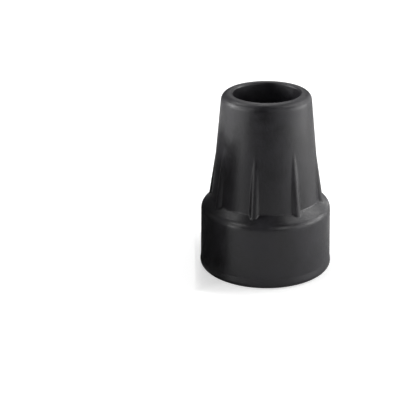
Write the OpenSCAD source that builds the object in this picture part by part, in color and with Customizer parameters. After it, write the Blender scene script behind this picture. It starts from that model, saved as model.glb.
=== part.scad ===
// Ribbed rubber tip for a walking cane, moulded in one piece.
// Origin: centre of the ground face. +Z runs up the socket.

/* [Overall] */
// Height from the ground to the rim
total_h = 52.2; // [44:0.2:70]
// Widest diameter, at the lip near the ground
lip_d = 38.4; // [34:0.2:50]
// Height of the shoulder's outer edge
shoulder_h = 18.7; // [15:0.1:20]

/* [Socket] */
// Diameter of the socket that grips the cane
socket_d = 19; // [12:0.5:20]
// Depth of the socket below the rim
socket_depth = 35; // [20:0.5:36]
// Radius of the socket's mouth edge
mouth_r = 0.6; // [0.2:0.1:0.8]
// Radius where the socket's wall meets its floor
socket_floor_r = 1; // [0.3:0.1:2]

/* [Neck] */
// Wall thickness at the rim
rim_wall = 3.1; // [3:0.1:5]
// Taper of the neck's outside, degrees from the axis
neck_taper = 5.6; // [2:0.1:7]
// Radius of the rim's outer edge
rim_r = 2.2; // [0.4:0.1:2.2]
// Height where the neck meets the sloping shoulder
neck_foot_h = 21.2; // [20:0.2:26]
// Radius of the fillet at the neck's foot
neck_foot_r = 0.6; // [0.2:0.1:1.5]

/* [Ribs] */
// Number of stiffening ribs round the neck
rib_count = 8; // [4:1:12]
// Radius of the ribs' round section
rib_r = 1.3; // [1:0.1:3]
// Height at which a rib's crest sinks into the neck
rib_top_h = 38; // [30:0.5:42]
// How far a rib's crest stands proud at the neck's foot
rib_proud = 1.1; // [0.5:0.1:1.8]

/* [Base] */
// Draft of the base's wall, degrees from the axis
base_draft = 1; // [0:0.1:3]
// Radius of the shoulder's outer edge
shoulder_r = 2.8; // [0.4:0.1:3]
// How far the lip stands proud of the wall
lip_proud = 0.21; // [0.1:0.01:0.6]
// Height of the lip's upper edge
lip_h = 3.1; // [2.4:0.1:5]
// Radius of the rounded edge under the lip
ground_edge_r = 1.3; // [0.5:0.1:1.6]
// Width of the flat ring that stands on the ground
land_w = 0.7; // [0.4:0.1:1.5]

/* [Tread] */
// Depth of the dished ground face, down to the tread's rings
dish_depth = 4.5; // [2:0.1:6]
// Diameter at the bottom of the dish, where the outer groove starts
dish_d = 30; // [28.8:0.1:31]
// Depth of the grooves above the rings
groove_depth = 2.9; // [1:0.1:4]
// Outer diameter of the raised ring
ring_d = 23.8; // [22:0.1:25]
// Width of the raised ring
ring_w = 3.7; // [2:0.1:5]
// Diameter of the round stud in the middle
stud_d = 7; // [3:0.1:9]
// Draft of the groove walls, degrees from the axis
groove_draft = 5; // [0:0.5:8]
// Radius in the corners of the groove floors
groove_r = 0.6; // [0.2:0.1:0.8]

/* [Hidden] */
$fn = 96;
past = 1; // overshoot of a cutting tool beyond the face that it opens
over = 0.0005; // how much a rounding circle is oversize, so that it crosses both sides cleanly
spread = 1.2; // growth of a corner's cutter from the arc's centre, so that it reaches past both sides
bead_slope = 0.4; // height of the small slope above the lip

rim_outer_r = socket_d / 2 + rim_wall;
lip_r = lip_d / 2;
land_outer_r = lip_r - ground_edge_r;
land_inner_r = land_outer_r - land_w;
socket_floor_h = total_h - socket_depth;
groove_floor_h = dish_depth + groove_depth;
groove_lean = groove_depth * tan(groove_draft);

// Outside radius of the neck's cone at height h
function neck_r(h) = rim_outer_r + (total_h - h) * tan(neck_taper);
// Outside radius of the base's wall at height h
function wall_r(h) = lip_r - lip_proud - (h - lip_h) * tan(base_draft);

function unit(v) = v / norm(v);
function turn(u, v) = u.x * v.y - u.y * v.x;

// Half of the angle at corner p, between the sides that run towards points a and b
function half_angle(p, a, b) = acos(unit(a - p) * unit(b - p)) / 2;
// Centre of the arc of radius r that touches both sides of corner p
function arc_centre(p, a, b, r) = p + unit(unit(a - p) + unit(b - p)) * r / sin(half_angle(p, a, b));
// Points where the arc touches the side towards a and the side towards b
function arc_ends(p, a, b, r) = [for (q = [a, b]) p + unit(q - p) * r / tan(half_angle(p, a, b))];

// Outline through points [x, y, r], anticlockwise, each corner rounded by its own r.
// A corner that points out loses the sliver outside its arc. A corner that points in
// is first filled as far as the arc's centre, and then the arc's circle is cut away.
module rounded_outline(corners) {
    n = len(corners);
    at = [for (c = corners) [c.x, c.y]];
    last = [for (i = [0:n - 1]) at[(i + n - 1) % n]];
    next = [for (i = [0:n - 1]) at[(i + 1) % n]];
    out = [for (i = [0:n - 1]) turn(at[i] - last[i], next[i] - at[i]) > 0];
    centre = [for (i = [0:n - 1]) arc_centre(at[i], last[i], next[i], corners[i].z)];
    ends = [for (i = [0:n - 1]) arc_ends(at[i], last[i], next[i], corners[i].z)];
    difference() {
        polygon([for (i = [0:n - 1]) each
            out[i] || corners[i].z == 0 ? [at[i]] : [ends[i][0], centre[i], ends[i][1]]]);
        for (i = [0:n - 1])
            if (corners[i].z > 0) {
                if (out[i])
                    difference() {
                        polygon([for (p = [centre[i], ends[i][0], at[i], ends[i][1]])
                            centre[i] + (p - centre[i]) * spread]);
                        translate(centre[i]) circle(r = corners[i].z + over);
                    }
                else
                    translate(centre[i]) circle(r = corners[i].z + over);
            }
    }
}

// Half section of the outside, from the ground up to the rim
module outside_section() {
    rounded_outline([
        [0, 0, 0],
        [lip_r, 0, ground_edge_r],
        [lip_r, lip_h - bead_slope, 0],
        [wall_r(lip_h), lip_h, 0],
        [wall_r(shoulder_h), shoulder_h, shoulder_r],
        [neck_r(neck_foot_h), neck_foot_h, neck_foot_r],
        [neck_r(total_h), total_h, rim_r],
        [0, total_h, 0],
    ]);
}

// Half section of the socket, with the flare that rounds its mouth
module socket_section() {
    rounded_outline([
        [0, socket_floor_h, 0],
        [socket_d / 2, socket_floor_h, socket_floor_r],
        [socket_d / 2, total_h, mouth_r],
        [socket_d / 2 + past, total_h, 0],
        [socket_d / 2 + past, total_h + past, 0],
        [0, total_h + past, 0],
    ]);
}

// Half section of what the ground face lacks: the dish and the two grooves above it
module tread_section() {
    dish_r = dish_d / 2;
    ring_r = ring_d / 2;
    stud_r = stud_d / 2;
    rounded_outline([
        [0, -past, 0],
        [land_inner_r, -past, 0],
        [land_inner_r, 0, 0],
        [dish_r, dish_depth, 0],
        [dish_r - groove_lean, groove_floor_h, groove_r],
        [ring_r + groove_lean, groove_floor_h, groove_r],
        [ring_r, dish_depth, 0],
        [ring_r - ring_w, dish_depth, 0],
        [ring_r - ring_w - groove_lean, groove_floor_h, groove_r],
        [stud_r + groove_lean, groove_floor_h, groove_r],
        [stud_r, dish_depth, 0],
        [0, dish_depth, 0],
    ]);
}

// One rib: a leaning rod sunk in the neck, its crest rising clear towards the foot
module rib() {
    foot_crest = neck_r(neck_foot_h) + rib_proud;
    rise = rib_top_h - neck_foot_h;
    lean = atan((foot_crest - neck_r(rib_top_h)) / rise);
    below = neck_foot_h - shoulder_h + rib_r; // the rod ends inside the solid base
    rod_h = (rise + below) / cos(lean) + past;
    translate([foot_crest, 0, neck_foot_h])
        rotate([0, -lean, 0])
            translate([-rib_r, 0, -below / cos(lean)])
                cylinder(r = rib_r, h = rod_h);
}

module cane_tip() {
    color("#2b2b2d")
    difference() {
        union() {
            rotate_extrude() outside_section();
            for (i = [0:rib_count - 1])
                rotate([0, 0, i * 360 / rib_count]) rib();
        }
        rotate_extrude() socket_section();
        rotate_extrude() tread_section();
    }
}

cane_tip();
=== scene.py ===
from math import ceil, cos, degrees, radians, sin, tan

import bpy
from mathutils import Matrix, Vector


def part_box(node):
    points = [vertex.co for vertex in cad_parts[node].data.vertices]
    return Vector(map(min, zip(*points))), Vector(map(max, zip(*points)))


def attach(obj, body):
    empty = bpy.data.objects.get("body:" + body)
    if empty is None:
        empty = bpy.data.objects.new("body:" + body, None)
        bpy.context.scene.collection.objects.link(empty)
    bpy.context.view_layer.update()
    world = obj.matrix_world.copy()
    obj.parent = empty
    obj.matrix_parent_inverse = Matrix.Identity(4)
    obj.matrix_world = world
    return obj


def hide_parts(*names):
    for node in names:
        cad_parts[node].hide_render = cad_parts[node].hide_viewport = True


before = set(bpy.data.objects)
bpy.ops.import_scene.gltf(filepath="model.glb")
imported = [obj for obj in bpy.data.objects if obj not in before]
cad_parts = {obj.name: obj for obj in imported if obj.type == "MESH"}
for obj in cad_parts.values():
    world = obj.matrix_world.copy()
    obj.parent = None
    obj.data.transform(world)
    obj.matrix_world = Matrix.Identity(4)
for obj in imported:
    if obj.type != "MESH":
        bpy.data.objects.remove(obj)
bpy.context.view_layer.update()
low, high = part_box("cane_tip")
mm = 0.001


def addNode(tree, kind, inputs=None, **settings):
    # inputs maps a socket's name or number to a value or to the socket that feeds it
    node = tree.nodes.new(kind)
    for name, value in settings.items():
        setattr(node, name, value)
    for name, value in (inputs or {}).items():
        if isinstance(value, bpy.types.NodeSocket):
            tree.links.new(value, node.inputs[name])
        else:
            node.inputs[name].default_value = value
    return node


def linearColour(hexText):
    parts = [int(hexText[i:i + 2], 16) / 255 for i in (1, 3, 5)]
    return [c / 12.92 if c <= 0.04045 else ((c + 0.055) / 1.055) ** 2.4 for c in parts] + [1.0]


# Camera: a long lens, a little above the bench, with the tip standing right of the middle

cameraSet = {
    "lens": 104.35,          # mm
    "sensor": 36.0,          # mm across
    "azimuth": 15.0,         # degrees from -Y towards +X
    "elevation": 22.5,       # degrees above the bench
    "roll": -0.85,           # degrees
    "distance": 344.64,      # mm from the aim to the camera
    "aim": (-19.04, 7.00, 16.89),  # mm, before the turn by azimuth
    "near": 0.01, "far": 20.0,     # metres, where the view starts and ends
}


def makeCamera(spec):
    data = bpy.data.cameras.new("benchCamera")
    data.lens = spec["lens"]
    data.sensor_width = spec["sensor"]
    data.clip_start = spec["near"]
    data.clip_end = spec["far"]
    camera = bpy.data.objects.new("benchCamera", data)
    bpy.context.scene.collection.objects.link(camera)
    turn = Matrix.Rotation(radians(spec["azimuth"]), 4, "Z")
    aim = turn @ (Vector(spec["aim"]) * mm)
    tilt = Matrix.Rotation(radians(90 - spec["elevation"]), 4, "X")
    roll = Matrix.Rotation(radians(spec["roll"]), 4, "Z")
    back = Matrix.Translation((0, 0, spec["distance"] * mm))
    camera.matrix_world = Matrix.Translation(aim) @ turn @ tilt @ roll @ back
    bpy.context.scene.camera = camera


makeCamera(cameraSet)
print("camera placed")


# Cane tip: one half section swept round the axis, with ribs raised out of the neck

tipShape = {
    # mm and degrees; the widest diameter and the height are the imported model's
    "socketDiameter": 19.0, "socketDepth": 35.0, "mouthRound": 0.6, "floorRound": 1.0,
    "rimWall": 3.1, "rimRound": 2.2, "neckTaper": 5.6,
    "neckFoot": 21.2, "neckFootRound": 0.6,
    "shoulder": 18.7, "shoulderRound": 2.8, "baseDraft": 1.0,
    "lipProud": 0.21, "lip": 3.0, "lipSlope": 1.55, "lipRound": 0.6, "lipBlend": 1.0,
    "groundRound": 1.3, "landWidth": 0.7, "landRound": 0.15,
    "dishDepth": 4.5, "dishDiameter": 30.0, "treadRound": 0.25,
    "grooveDepth": 2.9, "grooveDraft": 5.0, "grooveRound": 0.6,
    "ringDiameter": 23.8, "ringWidth": 3.7, "studDiameter": 7.0,
    "ribCount": 8, "ribRadius": 1.3, "ribTop": 38.0, "ribProud": 1.1,
    "ribBlend": 0.12,        # softness of the rib's root
    "ribBelow": 0.3,         # how far below the shoulder's height a rib may still stand out
    "ribClear": 1.0,         # kept free of ribs, below the rim and beside the socket
    "stepsRound": 352,       # columns of faces round the axis
    "arcStep": 14.0,         # the most that one step of a rounding turns
    "arcLeast": 3,           # the fewest steps in a rounding
    "weld": 0.001,           # points closer than this become one, at the seam and on the axis
}


def roundedPath(corners, arcStep, arcLeast):
    # corners are [r, z, round, longest step to the next corner], in mm
    points = []
    last = len(corners) - 1
    for i, (r, z, radius, step) in enumerate(corners):
        here = Vector((r, z))
        if radius and 0 < i < last:
            before = (Vector(corners[i - 1][:2]) - here).normalized()
            after = (Vector(corners[i + 1][:2]) - here).normalized()
            half = before.angle(after) / 2
            reach = radius / tan(half)
            centre = here + (before + after).normalized() * radius / sin(half)
            start = here + before * reach - centre
            sweep = start.angle_signed(here + after * reach - centre)
            count = max(arcLeast, ceil(abs(degrees(sweep)) / arcStep))
            made = [centre + Matrix.Rotation(-sweep * k / count, 2) @ start
                    for k in range(count + 1)]
        else:
            made = [here]
        if points:
            gap = made[0] - points[-1]
            parts = ceil(gap.length / corners[i - 1][3])
            points += [points[-1] + gap * k / parts for k in range(1, parts)]
        points += made
    return points


def tipSection(s, lipRadius, height):
    # from the middle of the tread out to the ground edge, up the outside and down the socket
    socket = s["socketDiameter"] / 2
    neckSlope = tan(radians(s["neckTaper"]))
    draftSlope = tan(radians(s["baseDraft"]))
    neckAt = lambda z: socket + s["rimWall"] + (height - z) * neckSlope
    wallAt = lambda z: lipRadius - s["lipProud"] - (z - s["lip"]) * draftSlope
    dish = s["dishDepth"]
    root = dish + s["grooveDepth"]
    lean = s["grooveDepth"] * tan(radians(s["grooveDraft"]))
    stud = s["studDiameter"] / 2
    ringOut = s["ringDiameter"] / 2
    ringIn = ringOut - s["ringWidth"]
    dishOut = s["dishDiameter"] / 2
    landIn = lipRadius - s["groundRound"] - s["landWidth"]
    floor = height - s["socketDepth"]
    edge = s["treadRound"]
    return roundedPath([
        [0, dish, 0, 0.8],
        [stud, dish, edge, 0.5],
        [stud + lean, root, s["grooveRound"], 0.6],
        [ringIn - lean, root, s["grooveRound"], 0.5],
        [ringIn, dish, edge, 0.7],
        [ringOut, dish, edge, 0.5],
        [ringOut + lean, root, s["grooveRound"], 0.6],
        [dishOut - lean, root, s["grooveRound"], 0.5],
        [dishOut, dish, edge, 0.7],
        [landIn, 0, s["landRound"], 0.4],
        [lipRadius, 0, s["groundRound"], 0.6],
        [lipRadius, s["lip"] - s["lipSlope"], s["lipRound"], 0.3],
        [wallAt(s["lip"]), s["lip"], s["lipBlend"], 1.0],
        [wallAt(s["shoulder"]), s["shoulder"], s["shoulderRound"], 0.2],
        [neckAt(s["neckFoot"]), s["neckFoot"], s["neckFootRound"], 0.45],
        [neckAt(height), height, s["rimRound"], 0.4],
        [socket, height, s["mouthRound"], 2.0],
        [socket, floor, s["floorRound"], 1.5],
        [0, floor, 0, 1.0],
    ], s["arcStep"], s["arcLeast"])


def sweepTree():
    # Wraps a grid round the axis: one row for each point of the section, one column for each
    # step round. Each grid point goes to its section point, turned by its column, and a rib
    # lifts it where the rib stands prouder.
    tree = bpy.data.node_groups.new("sweepRibbedSection", "GeometryNodeTree")
    face = tree.interface
    face.new_socket("Section", in_out="INPUT", socket_type="NodeSocketGeometry")
    for name, kind in (
        ("Steps Round", "Int"), ("Rib Count", "Int"), ("Rib Radius", "Float"),
        ("Foot Height", "Float"), ("Foot Crest", "Float"), ("Crest Slope", "Float"),
        ("Rib Blend", "Float"), ("Weld", "Float"), ("Rubber", "Material"),
    ):
        face.new_socket(name, in_out="INPUT", socket_type="NodeSocket" + kind)
    face.new_socket("Tip", in_out="OUTPUT", socket_type="NodeSocketGeometry")

    given = addNode(tree, "NodeGroupInput").outputs
    section = given["Section"]
    index = addNode(tree, "GeometryNodeInputIndex").outputs[0]
    rows = addNode(tree, "GeometryNodeAttributeDomainSize", {"Geometry": section},
                   component="MESH").outputs["Point Count"]
    row = addNode(tree, "ShaderNodeMath", {0: index, 1: rows},
                  operation="FLOORED_MODULO").outputs[0]

    # the section's own place at this row, and whether a rib may lift it there
    position = addNode(tree, "GeometryNodeInputPosition").outputs[0]
    mark = addNode(tree, "GeometryNodeInputNamedAttribute", {"Name": "ribbed"},
                   data_type="FLOAT").outputs["Attribute"]
    onSection, ribbed = (
        addNode(tree, "GeometryNodeSampleIndex",
                {"Geometry": section, "Value": source, "Index": row},
                data_type=kind, domain="POINT").outputs["Value"]
        for kind, source in (("FLOAT_VECTOR", position), ("FLOAT", mark)))
    place = addNode(tree, "ShaderNodeSeparateXYZ", {0: onSection}).outputs

    # each line is a sum's name, its operation and its terms; text names an earlier sum
    sums = {}
    for name, operation, *terms in (
        ("columns", "ADD", given["Steps Round"], 1),
        # this column's angle
        ("middle", "ADD", index, 0.5),
        ("columnPart", "DIVIDE", "middle", rows),
        ("column", "FLOOR", "columnPart"),
        ("share", "DIVIDE", "column", given["Steps Round"]),
        ("angle", "MULTIPLY", "share", radians(360)),
        ("angleSine", "SINE", "angle"),
        ("angleCosine", "COSINE", "angle"),
        # angle from the nearest rib's middle
        ("pitch", "DIVIDE", radians(360), given["Rib Count"]),
        ("pitches", "DIVIDE", "angle", "pitch"),
        ("pitchesOn", "ADD", "pitches", 0.5),
        ("past", "FRACT", "pitchesOn"),
        ("inPitch", "SUBTRACT", "past", 0.5),
        ("off", "MULTIPLY", "inPitch", "pitch"),
        ("offSine", "SINE", "off"),
        ("offCosine", "COSINE", "off"),
        # a rib is a leaning rod: its core's distance from the axis at this height
        ("rise", "SUBTRACT", place["Z"], given["Foot Height"]),
        ("fall", "MULTIPLY", "rise", given["Crest Slope"]),
        ("crest", "SUBTRACT", given["Foot Crest"], "fall"),
        ("core", "SUBTRACT", "crest", given["Rib Radius"]),
        # the rod's far side as seen from the axis at this angle
        ("across", "MULTIPLY", "core", "offSine"),
        ("rodSquare", "POWER", given["Rib Radius"], 2),
        ("acrossSquare", "POWER", "across", 2),
        ("left", "SUBTRACT", "rodSquare", "acrossSquare"),
        ("leftSign", "SIGN", "left"),
        ("leftSize", "ABSOLUTE", "left"),
        ("leftRoot", "SQRT", "leftSize"),
        ("beyond", "MULTIPLY", "leftSign", "leftRoot"),
        ("along", "MULTIPLY", "core", "offCosine"),
        ("rib", "ADD", "along", "beyond"),
        ("lifted", "SMOOTH_MAX", place["X"], "rib", given["Rib Blend"]),
    ):
        inputs = {i: sums[t] if isinstance(t, str) else t for i, t in enumerate(terms)}
        sums[name] = addNode(tree, "ShaderNodeMath", inputs, operation=operation).outputs[0]

    radius = addNode(tree, "ShaderNodeMix", {
        "Factor": ribbed, "A": place["X"], "B": sums["lifted"]}).outputs[0]
    x, y = (addNode(tree, "ShaderNodeMath", {0: radius, 1: sums[name]},
                    operation="MULTIPLY").outputs[0] for name in ("angleCosine", "angleSine"))
    spot = addNode(tree, "ShaderNodeCombineXYZ", {"X": x, "Y": y, "Z": place["Z"]}).outputs[0]

    shape = addNode(tree, "GeometryNodeMeshGrid", {
        "Vertices X": sums["columns"], "Vertices Y": rows}).outputs["Mesh"]
    for kind, inputs in (
        ("GeometryNodeSetPosition", {"Position": spot}),
        ("GeometryNodeMergeByDistance", {"Distance": given["Weld"]}),
        ("GeometryNodeSetShadeSmooth", {}),
        ("GeometryNodeRealizeInstances", {}),
        ("GeometryNodeSetMaterial", {"Material": given["Rubber"]}),
    ):
        shape = addNode(tree, kind, {"Geometry": shape, **inputs}).outputs[0]
    addNode(tree, "NodeGroupOutput", {"Tip": shape})
    return tree


def makeTip(shape, material):
    lipRadius = (high[0] - low[0]) / 2 / mm
    height = (high[2] - low[2]) / mm
    lipRadius = round(lipRadius, 2)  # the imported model's facets fall a hair short of its round
    path = tipSection(shape, lipRadius, height)
    print("section has", len(path), "points")
    section = bpy.data.meshes.new("tipSection")
    section.materials.append(material)
    section.from_pydata([(p.x * mm, 0, p.y * mm) for p in path],
                        [(i, i + 1) for i in range(len(path) - 1)], [])
    socket = shape["socketDiameter"] / 2
    marks = section.attributes.new("ribbed", "FLOAT", "POINT")
    for i, p in enumerate(path):
        marks.data[i].value = float(
            p.x > socket + shape["ribClear"] and p.y < height - shape["ribClear"]
            and p.y > shape["shoulder"] - shape["ribBelow"])
    maker = bpy.data.objects.new("tipMaker", section)
    bpy.context.scene.collection.objects.link(maker)

    slope = tan(radians(shape["neckTaper"]))
    neckTop = socket + shape["rimWall"]
    footCrest = neckTop + (height - shape["neckFoot"]) * slope + shape["ribProud"]
    topCrest = neckTop + (height - shape["ribTop"]) * slope
    values = {
        "Steps Round": shape["stepsRound"], "Rib Count": shape["ribCount"],
        "Rib Radius": shape["ribRadius"] * mm, "Rib Blend": shape["ribBlend"] * mm,
        "Foot Height": shape["neckFoot"] * mm, "Foot Crest": footCrest * mm,
        "Crest Slope": (footCrest - topCrest) / (shape["ribTop"] - shape["neckFoot"]),
        "Weld": shape["weld"] * mm, "Rubber": material,
    }
    tree = sweepTree()
    modifier = maker.modifiers.new("sweep", "NODES")
    modifier.node_group = tree
    for item in tree.interface.items_tree:
        if item.in_out == "INPUT" and item.name in values:
            modifier[item.identifier] = values[item.name]
    graph = bpy.context.evaluated_depsgraph_get()
    mesh = bpy.data.meshes.new_from_object(maker.evaluated_get(graph))
    mesh.name = "rubberTip"
    mesh.materials.pop(index=0)  # the grid's own empty slot
    tip = bpy.data.objects.new("rubberTip", mesh)
    bpy.context.scene.collection.objects.link(tip)
    bpy.data.objects.remove(maker)
    return tip


# Natural rubber filled with carbon black, compression moulded in a turned steel mould.
# It gives the eye a satin near-black with broad soft highlights that break up a little,
# cloudy patches where the surface is duller, and faint rings left by the mould's lathe marks.

rubberLook = {
    "deep": "#19181b",       # the rubber itself
    "bloom": "#212025",      # where wax has bloomed to the surface
    "cloud": 9.0,            # mm across a patch of bloom
    "fleck": 0.9,            # mm across a fleck within it
    "fleckShare": 0.35,      # how much the flecks break the patches
    "tintEdge": 0.12,        # softness of the patches' edges in colour
    "roughness": 0.42,
    "dull": 0.20,            # how much rougher the bloom is
    "dullEdge": 0.15,        # softness of the patches' edges in gloss
    "grain": 0.22,           # mm, coarser than the blasted mould's 0.05, which is too fine to show
    "grainHeight": 0.006,    # mm
    "ringPitch": 0.6,        # mm between lathe marks
    "ringHeight": 0.004,     # mm
    "ringWander": 1.5,       # how far the rings stray from level
    "swell": 5.0,            # mm, slow waves where the rubber shrank unevenly
    "swellHeight": 0.045,    # mm
    "ior": 1.52,
}


def makeRubber(look):
    material = bpy.data.materials.new("mouldedRubber")
    material.use_nodes = True
    tree = material.node_tree
    shader = tree.nodes["Principled BSDF"]
    place = addNode(tree, "ShaderNodeTexCoord").outputs["Object"]
    noise = {}
    # which size of the look, then detail, roughness and distortion
    for name, detail, roughness, distortion in (
        ("cloud", 3, 0.55, 0.4),
        ("fleck", 4, 0.6, 0),
        ("grain", 2, 0.5, 0),
        ("swell", 1, 0.5, 0),
    ):
        noise[name] = addNode(tree, "ShaderNodeTexNoise", {
            "Vector": place, "Scale": 1 / (look[name] * mm), "Detail": detail,
            "Roughness": roughness, "Distortion": distortion}).outputs["Fac"]

    # bloom: clouds, broken into flecks, colour the surface and dull it
    clouds = addNode(tree, "ShaderNodeMath", {0: noise["cloud"], 1: 1 - look["fleckShare"]},
                     operation="MULTIPLY").outputs[0]
    mixed = addNode(tree, "ShaderNodeMath", {0: noise["fleck"], 1: look["fleckShare"], 2: clouds},
                    operation="MULTIPLY_ADD").outputs[0]
    bloom, rough = (
        addNode(tree, "ShaderNodeMapRange", {
            "Value": mixed, "From Min": 0.5 - reach, "From Max": 0.5 + reach,
            "To Min": least, "To Max": most}, interpolation_type="SMOOTHSTEP").outputs[0]
        for reach, least, most in (
            (look["tintEdge"], 0, 1),
            (look["dullEdge"], look["roughness"] - look["dull"] / 2,
             look["roughness"] + look["dull"] / 2),
        ))
    # a colour mix has its two colours at inputs 6 and 7 and gives its colour at output 2
    colour = addNode(tree, "ShaderNodeMix", {
        "Factor": bloom, 6: linearColour(look["deep"]), 7: linearColour(look["bloom"])},
        data_type="RGBA").outputs[2]

    # heights in metres: grain, lathe rings round the axis, slow swells
    bandLength = 0.314  # metres from band to band of a wave texture at scale 1
    rings = addNode(tree, "ShaderNodeTexWave", {
        "Vector": place, "Scale": bandLength / (look["ringPitch"] * mm), "Detail": 2,
        "Detail Scale": 0.6, "Distortion": look["ringWander"]},
        wave_type="BANDS", bands_direction="Z").outputs["Fac"]
    height = 0.0
    for layer, size in ((noise["grain"], look["grainHeight"]), (rings, look["ringHeight"]),
                        (noise["swell"], look["swellHeight"])):
        height = addNode(tree, "ShaderNodeMath", {0: layer, 1: size * mm, 2: height},
                         operation="MULTIPLY_ADD").outputs[0]
    bump = addNode(tree, "ShaderNodeBump", {"Height": height, "Strength": 1.0, "Distance": 1.0})

    tree.links.new(colour, shader.inputs["Base Color"])
    tree.links.new(rough, shader.inputs["Roughness"])
    tree.links.new(bump.outputs[0], shader.inputs["Normal"])
    shader.inputs["IOR"].default_value = look["ior"]
    return material


tip = makeTip(tipShape, makeRubber(rubberLook))
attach(tip, "root")
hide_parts("cane_tip")
print("tip swept:", len(tip.data.vertices), "points,",
      sum(len(p.vertices) - 2 for p in tip.data.polygons), "triangles")


# Studio: a pale bench that shows white, soft panels all round but the front left,
# and a framed black net that stands close on the left

studioSet = {
    "benchColour": "#d2d2d2",
    "benchGlow": 0.6,        # for the camera only, so that the bench is white and shadows stay
    "benchSize": 1.0,        # metres
    "benchFront": 0.2,       # metres from the tip to the front edge; the room beyond is dark
    "panelSize": 0.2,        # metres
    "panelDistance": 0.6,    # metres
    "panelAim": 0.025,       # metres above the bench
}
panelRig = (
    # name, degrees round from the camera (right is positive), degrees up, watts
    ("rightLowFront", 60, 6, 0.45),
    ("rightLow", 80, 6, 0.85),
    ("rightLowRear", 100, 6, 1.38),
    ("rightLowBack", 140, 6, 0.31),
    ("rightMiddle", 100, 36, 0.68),
    ("rightMiddleRear", 120, 36, 0.60),
    ("rightHigh", 80, 54, 0.52),
    ("backRight", 160, 36, 0.19),
    ("back", 180, 36, 0.22),
    ("backHigh", 180, 54, 0.12),
    ("topBack", 180, 72, 0.36),
    ("leftLowRear", -100, 6, 0.60),
    ("leftLow", -80, 6, 0.47),
    ("leftLowFront", -60, 6, 0.47),
    ("leftMiddle", -100, 20, 1.80),
    ("leftFront", -60, 36, 0.52),
    ("leftHigh", -120, 54, 0.73),
    ("frontFill", 30, 20, 0.42),
)
netSet = {
    "colour": "#505050",
    "roughness": 0.9,
    "passes": 0.06,          # share of the light that gets through
    "foot": -20.0,           # mm, left of the tip's axis as the camera sees it
    "thick": 1.0,            # mm
    "lean": 8.0,             # degrees, outwards
    "front": -19.0, "back": 22.0,  # mm, before and behind the axis
    "bottom": 0.5, "frontTop": 40.0, "backTop": 37.0,  # mm above the bench
}


def makeBench(spec):
    # painted board: matt and even, so it takes soft shadows and nothing mirrors in it
    mesh = bpy.data.meshes.new("benchTop")
    turn = Matrix.Rotation(radians(cameraSet["azimuth"]), 4, "Z")
    half, front = spec["benchSize"] / 2, spec["benchFront"]
    corners = ((-half, -front, 0), (half, -front, 0), (half, half, 0), (-half, half, 0))
    mesh.from_pydata([turn @ Vector(c) for c in corners], [], [(0, 1, 2, 3)])
    material = bpy.data.materials.new("paintedBoard")
    material.use_nodes = True
    tree = material.node_tree
    tree.nodes.clear()
    paint = addNode(tree, "ShaderNodeBsdfDiffuse",
                    {"Color": linearColour(spec["benchColour"])}).outputs[0]
    ray = addNode(tree, "ShaderNodeLightPath").outputs["Is Camera Ray"]
    strength = addNode(tree, "ShaderNodeMath", {0: ray, 1: spec["benchGlow"]},
                       operation="MULTIPLY").outputs[0]
    glow = addNode(tree, "ShaderNodeEmission", {"Strength": strength}).outputs[0]
    both = addNode(tree, "ShaderNodeAddShader", {0: paint, 1: glow}).outputs[0]
    addNode(tree, "ShaderNodeOutputMaterial", {"Surface": both})
    mesh.materials.append(material)
    bench = bpy.data.objects.new("benchTop", mesh)
    bpy.context.scene.collection.objects.link(bench)
    return bench


def makePanels(spec, rig):
    # each panel faces the tip from its own bearing, counted from the camera's
    aim = Vector((0, 0, spec["panelAim"]))
    for name, azimuth, elevation, watts in rig:
        turn, up = radians(cameraSet["azimuth"] + azimuth), radians(elevation)
        outward = Vector((sin(turn) * cos(up), -cos(turn) * cos(up), sin(up)))
        light = bpy.data.lights.new(name, "AREA")
        light.shape = "SQUARE"
        light.size = spec["panelSize"]
        light.energy = watts
        panel = bpy.data.objects.new(name, light)
        panel.location = outward * spec["panelDistance"] + aim
        panel.rotation_euler = (aim - panel.location).to_track_quat("-Z", "Y").to_euler()
        bpy.context.scene.collection.objects.link(panel)


def makeNet(spec):
    # black nylon net in a frame: matt, it lets a little light through, and it keeps the left
    # panels off the tip's lower left side, as something dark standing there would
    turn = Matrix.Rotation(radians(cameraSet["azimuth"]), 4, "Z")
    slope = tan(radians(spec["lean"]))
    outline = ((spec["front"], spec["bottom"]), (spec["front"], spec["frontTop"]),
               (spec["back"], spec["bottom"]), (spec["back"], spec["backTop"]))
    points = [turn @ (Vector((x - z * slope, y, z)) * mm)
              for x in (spec["foot"] - spec["thick"], spec["foot"]) for y, z in outline]
    mesh = bpy.data.meshes.new("blackNet")
    mesh.from_pydata(points, [], [(0, 1, 3, 2), (4, 6, 7, 5), (0, 4, 5, 1),
                                  (2, 3, 7, 6), (0, 2, 6, 4), (1, 5, 7, 3)])
    material = bpy.data.materials.new("blackNet")
    material.use_nodes = True
    shader = material.node_tree.nodes["Principled BSDF"]
    shader.inputs["Base Color"].default_value = linearColour(spec["colour"])
    shader.inputs["Roughness"].default_value = spec["roughness"]
    shader.inputs["Alpha"].default_value = 1 - spec["passes"] ** 0.5  # light crosses two faces
    mesh.materials.append(material)
    net = bpy.data.objects.new("blackNet", mesh)
    net.visible_camera = False
    bpy.context.scene.collection.objects.link(net)
    return net


def makeWorld():
    # white to the camera, black to everything else
    world = bpy.data.worlds.new("studio")
    world.use_nodes = True
    tree = world.node_tree
    ray = addNode(tree, "ShaderNodeLightPath").outputs["Is Camera Ray"]
    tree.links.new(ray, tree.nodes["Background"].inputs["Strength"])
    tree.nodes["Background"].inputs["Color"].default_value = linearColour("#ffffff")
    bpy.context.scene.world = world


makeBench(studioSet)
makeNet(netSet)
makePanels(studioSet, panelRig)
makeWorld()
bpy.context.scene.view_settings.view_transform = "Standard"
print("studio lit by", len(panelRig), "panels")
